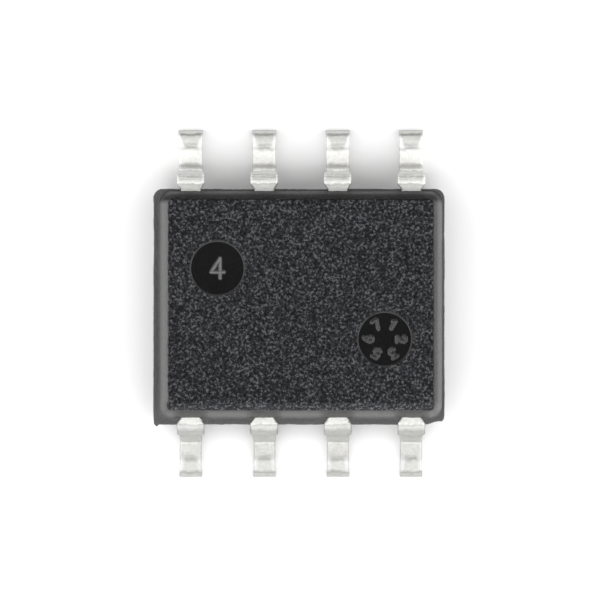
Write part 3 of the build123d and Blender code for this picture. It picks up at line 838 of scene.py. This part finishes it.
def make_lead(n):
    lo, hi = lead_boxes[n]
    side = -1 if n <= 4 else 1
    cx = {1: -1.905, 2: -0.635, 3: 0.635, 4: 1.905, 5: 1.905, 6: 0.635, 7: -0.635, 8: -1.905}[n]
    rs = np.random.RandomState(100 + n)
    row = ROW_LOW if side < 0 else ROW_HIGH
    towards = -1 if cx > 0 else 1
    table = CORNER_FINGER if abs(cx) > 1 else INNER_FINGER
    depth = np.array([t[0] for t in table])
    to_mid = np.array([t[1] for t in table])
    off_mid = np.array([t[2] for t in table])
    left_t, right_t = (off_mid, to_mid) if towards > 0 else (to_mid, off_mid)
    s_in = depth[0] - SHOULDER_Y
    stations = list(np.arange(s_in, -0.24, 0.030)) + list(np.arange(-0.24, S1, 0.013))
    stations += list(np.arange(S1, S2, 0.024)) + list(np.arange(S2, S3, 0.013)) + list(np.arange(S3, S_END - 0.120, 0.015))
    stations += list(np.arange(S_END - 0.118, S_END - 0.0005, 0.0085)) + [S_END]
    # the dam bar's cut leaves a square step
    stations = sorted(set([round(s, 5) for s in stations if abs(s - S_STUB) > 0.006] + [S_STUB - 0.0035, S_STUB + 0.0035]))
    d_leg, d_foot, d_toe = row["leg"], row["foot"], row["toe"] + rs.uniform(-0.003, 0.003)
    stub_l = DAMBAR_W / 2 + rs.uniform(-0.004, 0.004)
    stub_r = DAMBAR_W / 2 + rs.uniform(-0.004, 0.004)
    lean = rs.uniform(-0.006, 0.006)  # the foot wanders a little sideways
    ring_list = []
    for s in stations:
        d, z, tilt = path(s)
        if s <= 0:
            wl, wr = np.interp(d, depth, left_t), np.interp(d, depth, right_t)
            if d > EXIT_Y:
                wl, wr = wl + (stub_l - DAMBAR_W / 2) * (wl / 0.2375), wr + (stub_r - DAMBAR_W / 2) * (wr / 0.2375)
        elif s < S_STUB:
            wl, wr = stub_l, stub_r
        else:
            k = s - S_STUB
            leg = d_leg + 0.010 * math.exp(-k / 0.05)
            w = leg + (d_foot - leg) * float(smooth(S2 - 0.1, S3, s))
            w = w + (d_toe - d_foot) * float(smooth(S_END - 0.20, S_END - 0.02, s))
            wl = wr = w
        shift = lean * float(smooth(S1, S_END, s))
        stub = 1.0 if -0.06 < s < S_STUB else 0.0
        if d < EXIT_Y - 0.04 and s < 0:
            rl = rr = 0.012
        else:
            rl, rr = (0.030, 0.048) if stub else (0.036, 0.036)
        if s > S_END - 0.10:
            e = (s - (S_END - 0.10)) / 0.10
            rl = rr = 0.036 + 0.010 * e
        tt, tb = LEAD_T / 2, LEAD_T / 2
        sec = section(wl, wr, tt, tb, rl, rr, 0.020)
        a, h = sec[:, 0].copy(), sec[:, 1].copy()
        # plating and rolling unevenness on the upper and side surfaces, never on the sole
        up = (h > -tb + 0.021).astype(float)
        u = s + 3 * n
        h = h + up * (0.0009 * plate_wave(a + 7 * n, u) + 0.0006 * plate_fine(a + 3 * n, u)) * (0.4 + 0.6 * (h > 0))
        a = a * (1 + 0.008 * plate_wave(u, h + n) * up)
        y = d + h * math.sin(tilt)
        zz = z + h * math.cos(tilt)
        if s > S3 - 0.02:
            top = smooth(0.10, 0.17, zz)
            reach = y
            # the coined toe: a funnel from a narrow neck to the full width, falling outwards
            half = 0.104 + (wl - 0.112) * np.clip((reach - 2.725) / 0.245, 0, 1)
            mask = 1 - smooth(half - 0.010, half + 0.012, np.abs(a))
            fall = 0.0055 * smooth(2.700, 2.740, reach) + 0.016 * np.clip((reach - 2.72) / 0.2, 0, 1.3)
            zz = zz - top * mask * fall
            # punch marks at the neck
            for k in range(4):
                mx = rs_marks[n][k][0]
                my = rs_marks[n][k][1]
                zz = zz - top * rs_marks[n][k][2] * np.exp(-(((a - mx) / 0.013) ** 2 + ((reach - my) / 0.017) ** 2))
            # the end rolls over into the cut
            roll = np.clip((reach - (2.895 + 0.020 * (np.abs(a) / wl) ** 2)) / 0.100, 0, 1)
            zz = zz - top * 0.085 * roll**2.1
            # the cut face: this line leaves the heights as they are
            zz = np.where(s >= S_END - 1e-6, zz, zz)
        y = np.minimum(y, HALF_SPAN - 0.016 * smooth(0.0, 0.12, zz))
        zz = np.maximum(zz, 0.0)
        ring_list.append(np.column_stack([cx + shift + a, side * y, zz]))
    v, f, m = [], [], []
    for r in ring_list:
        v.append(r)
    K = len(ring_list)
    for i in range(K - 1):
        for j in range(M_SEC):
            k = (j + 1) % M_SEC
            q = (i * M_SEC + j, i * M_SEC + k, (i + 1) * M_SEC + k, (i + 1) * M_SEC + j)
            f.append(q if side > 0 else q[::-1])
            s_mid = (stations[i] + stations[i + 1]) / 2
            cut = abs(s_mid - S_STUB) < 0.003
            m.append(1 if cut else 0)
    # end caps with two inner rings each, a little uneven as sheared
    nv = K * M_SEC
    for which, flip in ((0, side > 0), (K - 1, side < 0)):
        r = ring_list[which]
        c = r.mean(0)
        prev = which * M_SEC
        for share in (0.82, 0.45):
            inner = c + (r - c) * share
            inner[:, 1] -= side * (1 if which else -1) * (0.0025 + 0.0018 * plate_fine(inner[:, 0] * 2, inner[:, 2] * 2))
            v.append(inner)
            for j in range(M_SEC):
                k = (j + 1) % M_SEC
                q = (prev + j, prev + k, nv + k, nv + j)
                f.append(q[::-1] if flip else q)
                m.append(1)
            prev = nv
            nv += M_SEC
        v.append(c[None, :] - np.array([[0, side * (1 if which else -1) * 0.004, 0]]))
        for j in range(M_SEC):
            k = (j + 1) % M_SEC
            q = (prev + j, prev + k, nv)
            f.append(q[::-1] if flip else q)
            m.append(1)
        nv += 1
    o = new_object(f"lead_{n}_formed", np.concatenate(v), f, [M_TIN, M_CUT], m, 48)
    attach(o, "root")
    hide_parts(f"lead_{n}")
    return o


rs_marks = {}
for n in range(1, 9):
    rs = np.random.RandomState(500 + n)
    xs = np.array([-0.085, -0.045, 0.040, 0.085]) + rs.uniform(-0.010, 0.010, 4)
    ys = 2.715 + rs.uniform(-0.020, 0.012, 4)
    ds = rs.uniform(0.002, 0.008, 4) * (1.3 if n > 4 else 0.8)
    rs_marks[n] = list(zip(xs, ys, ds))
for n in range(1, 9):
    make_lead(n)

# ---------------------------------------------------------------- sealed pieces keep their CAD shape
for node, mat in inside.items():
    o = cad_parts[node]
    o.data.materials.clear()
    o.data.materials.append(mat)
for n in range(1, 9):
    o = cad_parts[f"bond_wire_{n}"]
    o.data.materials.clear()
    o.data.materials.append(M_GOLD)

# ---------------------------------------------------------------- floor, light and camera
m, nt, b, vec = material("paper_floor")
n = noise(nt, vec, 0.6, 3.0, 0.5)
nt.links.new(ramp(nt, n, [(0.3, (0.895, 0.895, 0.895)), (0.7, (0.905, 0.905, 0.905))]), b.inputs["Base Color"])
b.inputs["Roughness"].default_value = 0.95
b.inputs["Specular IOR Level"].default_value = 0.1
R = 0.6
fm = bpy.data.meshes.new("floor")
fm.from_pydata([(-R, -R, 0), (R, -R, 0), (R, R, 0), (-R, R, 0)], [], [(0, 1, 2, 3)])
fm.materials.append(m)
floor = bpy.data.objects.new("floor", fm)
floor.location.z = cad_lo.z - 2e-6
bpy.context.scene.collection.objects.link(floor)


world = bpy.data.worlds.new("studio")
bpy.context.scene.world = world
world.use_nodes = True
wt = world.node_tree
wt.nodes.clear()
out = wt.nodes.new("ShaderNodeOutputWorld")
bg = wt.nodes.new("ShaderNodeBackground")
tc = wt.nodes.new("ShaderNodeTexCoord")
sep = wt.nodes.new("ShaderNodeSeparateXYZ")
wt.links.new(tc.outputs["Generated"], sep.inputs["Vector"])
LIGHT = 1.32
# soft white tent: bright all round above, dark straight overhead where the camera stands
overhead = ramp(wt, remap(wt, sep.outputs["Z"], 0.8, 1.0, 0.0, 1.0), [
    (0.0, 1.70), (0.53, 1.70), (0.755, 1.38), (0.865, 1.20), (0.905, 0.95), (0.945, 0.03), (1.0, 0.02)])
# open at the back, +Y
across = ramp(wt, remap(wt, sep.outputs["Y"], -1.0, 1.0, 0.0, 1.0), [
    (0.0, 0.80), (0.20, 0.84), (0.325, 1.0), (0.40, 1.22), (0.50, 1.0), (0.60, 0.86), (0.65, 0.70), (0.80, 0.04), (1.0, 0.04)])
low = remap(wt, sep.outputs["Z"], 0.36, 0.20, 0.0, 1.0)
horizon = ramp(wt, low, [(0.0, 0.0), (1.0, 1.0)])
lit = mixed(wt, 1.0, overhead, across, "MULTIPLY")
edge = ramp(wt, low, [(0.0, 1.45), (1.0, 1.45)])
total_sky = mixed(wt, horizon, lit, edge)
wt.links.new(total_sky, bg.inputs["Color"])
bg.inputs["Strength"].default_value = LIGHT
wt.links.new(bg.outputs["Background"], out.inputs["Surface"])

sc = bpy.context.scene
sc.view_settings.view_transform = "Standard"
sc.view_settings.look = "None"

cam = bpy.data.cameras.new("camera")
cam.sensor_width = 36.0
H = 0.40
level = LEDGE * MM
view_w = 600 / 57.9 * MM
cam.lens = 36.0 * (H - level) / view_w
cam.clip_start, cam.clip_end = 0.01, 5.0
camo = bpy.data.objects.new("camera", cam)
camo.location = (-0.018 * MM, 0.062 * MM, H)
sc.collection.objects.link(camo)
sc.camera = camo
